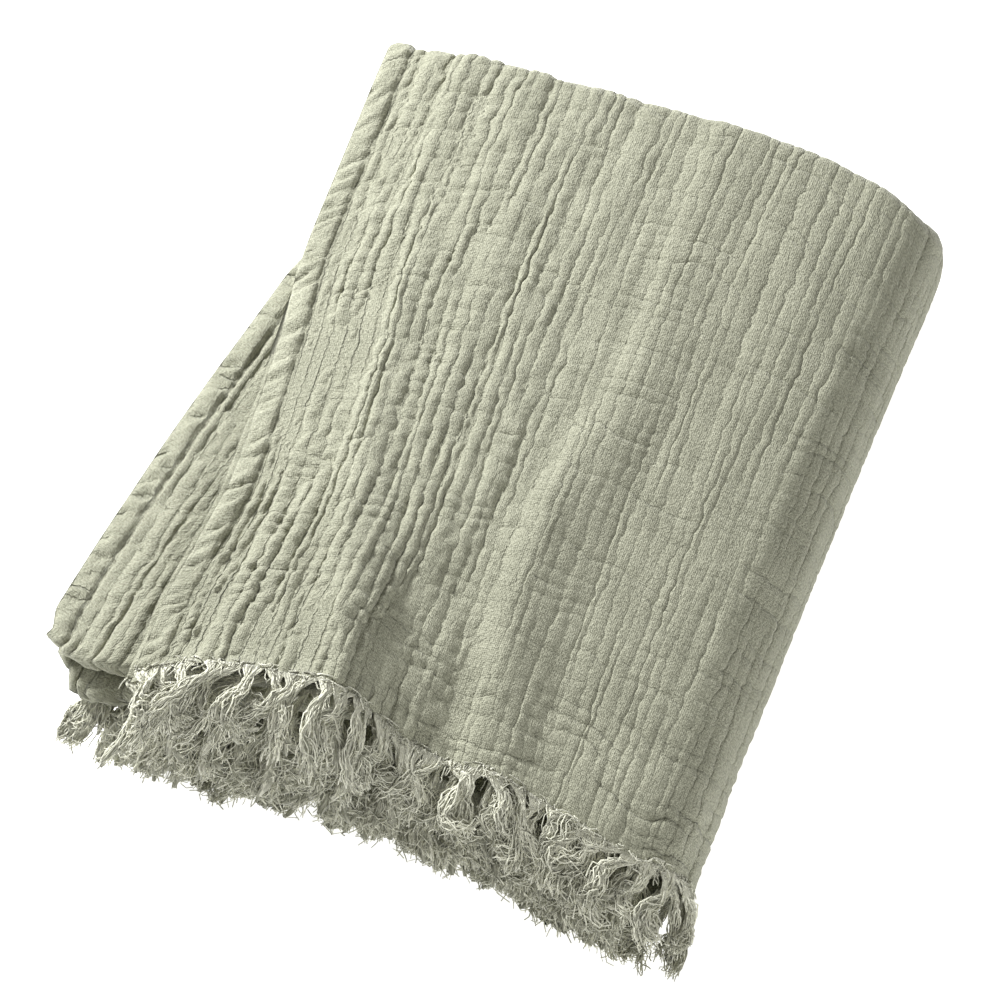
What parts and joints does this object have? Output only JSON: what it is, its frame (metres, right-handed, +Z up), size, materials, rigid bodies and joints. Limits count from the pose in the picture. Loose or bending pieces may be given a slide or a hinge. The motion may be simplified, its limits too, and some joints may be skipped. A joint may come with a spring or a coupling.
{
  "type": "cotton gauze throw",
  "caption": "Folded cotton gauze throw: a crinkled, ribbed sheet with a stitched hem along its long sides and a frayed fringe along its short ends.",
  "frame": {"origin": "on the surface that the throw lies on, under the middle of its bounding box", "axes": "+Z up; +Y along the ribs, from the fringed end to the folded end; +X across the ribs, from the hems to the large fold"},
  "size_m": [0.3854, 0.4942, 0.0948],
  "materials": {
    "gauze": "matte crinkled gauze, sage green",
    "fringe_yarn": "matte frayed cotton yarn, sage green"
  },
  "bodies": {
    "root": {"throw_cloth": "gauze", "fringe_first_end": "fringe_yarn", "fringe_other_end": "fringe_yarn"}
  },
  "joints": []
}
